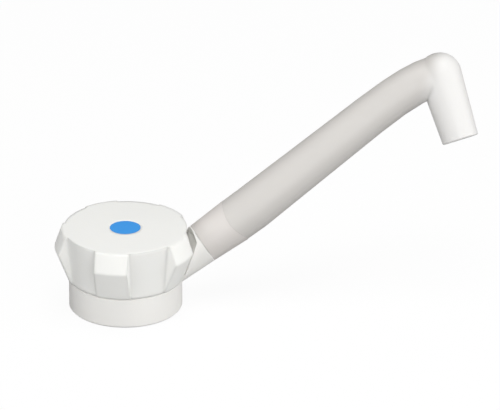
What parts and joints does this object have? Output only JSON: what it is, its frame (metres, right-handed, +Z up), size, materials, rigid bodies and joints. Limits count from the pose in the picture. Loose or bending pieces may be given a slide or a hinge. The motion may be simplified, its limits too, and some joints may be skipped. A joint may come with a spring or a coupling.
{
  "type": "jerrycan tap",
  "caption": "Water can tap with a five-lobed turning knob over a screw-down valve, a pump switch under it and a long swivelling spout that rises to a downturned outlet.",
  "frame": {"origin": "on the knob's axis, at the foot of the base ring, where the inlet's thread ends", "axes": "+Z up along the knob's and inlet's axis, +X horizontal towards the branch that carries the spout, which climbs 31 degrees above it"},
  "size_m": [0.1722, 0.0556, 0.0917],
  "materials": {
    "white_base": "satin white moulding",
    "white_knob": "satin white moulding, finely dulled top",
    "white_spout": "satin white moulding",
    "blue_cap": "plain blue, satin",
    "brass": "turned brass",
    "seal_rubber": "black nitrile",
    "grey_acetal": "natural grey acetal",
    "screw_steel": "stainless steel",
    "switch_black": "black moulded housing",
    "switch_red": "red moulded button",
    "terminal_metal": "tinned metal tab"
  },
  "bodies": {
    "base": {"tap_body": "white_base", "inlet_bush": "brass", "inlet_seal": "seal_rubber", "gland_nut": "brass", "gland_seal": "seal_rubber", "thrust_washer": "grey_acetal", "switch_case": "switch_black", "switch_cover": "switch_black", "switch_terminal_left": "terminal_metal", "switch_terminal_middle": "terminal_metal", "switch_terminal_right": "terminal_metal", "switch_screw_left": "screw_steel", "switch_screw_right": "screw_steel", "spout_seal_inner": "seal_rubber", "spout_seal_outer": "seal_rubber", "spout_clip": "screw_steel"},
    "knob": {"knob": "white_knob", "knob_cap": "blue_cap", "knob_screw": "screw_steel", "cam_ring": "grey_acetal", "spindle": "brass", "spindle_seal_lower": "seal_rubber", "spindle_seal_upper": "seal_rubber"},
    "plunger": {"valve_plunger": "brass", "valve_washer": "seal_rubber", "washer_screw": "screw_steel"},
    "button": {"switch_button": "switch_red"},
    "spout": {"spout_neck": "white_spout", "spout_tube": "white_spout"}
  },
  "joints": [
    {"name": "knob_turn", "type": "hinge", "parent": "base", "child": "knob", "pos_m": [0, 0, 0.0125], "axis": [0, 0, 1], "range_deg": [0, 180]},
    {"name": "plunger_lift", "type": "slide", "parent": "base", "child": "plunger", "axis": [0, 0, 1], "range_m": [0, 0.002]},
    {"name": "button_press", "type": "slide", "parent": "base", "child": "button", "axis": [0, 0, -1], "range_m": [0, 0.0007]},
    {"name": "spout_swivel", "type": "hinge", "parent": "base", "child": "spout", "pos_m": [0.0321, 0, 0.0221], "axis": [0.8572, 0, 0.515], "range_deg": [-58.6, 121.4]}
  ],
  "couplings": [
    {"joint": "plunger_lift", "follows": "knob_turn", "m_per_rad": 0.00063662},
    {"joint": "button_press", "follows": "knob_turn", "m_per_rad": 0.00022282}
  ]
}
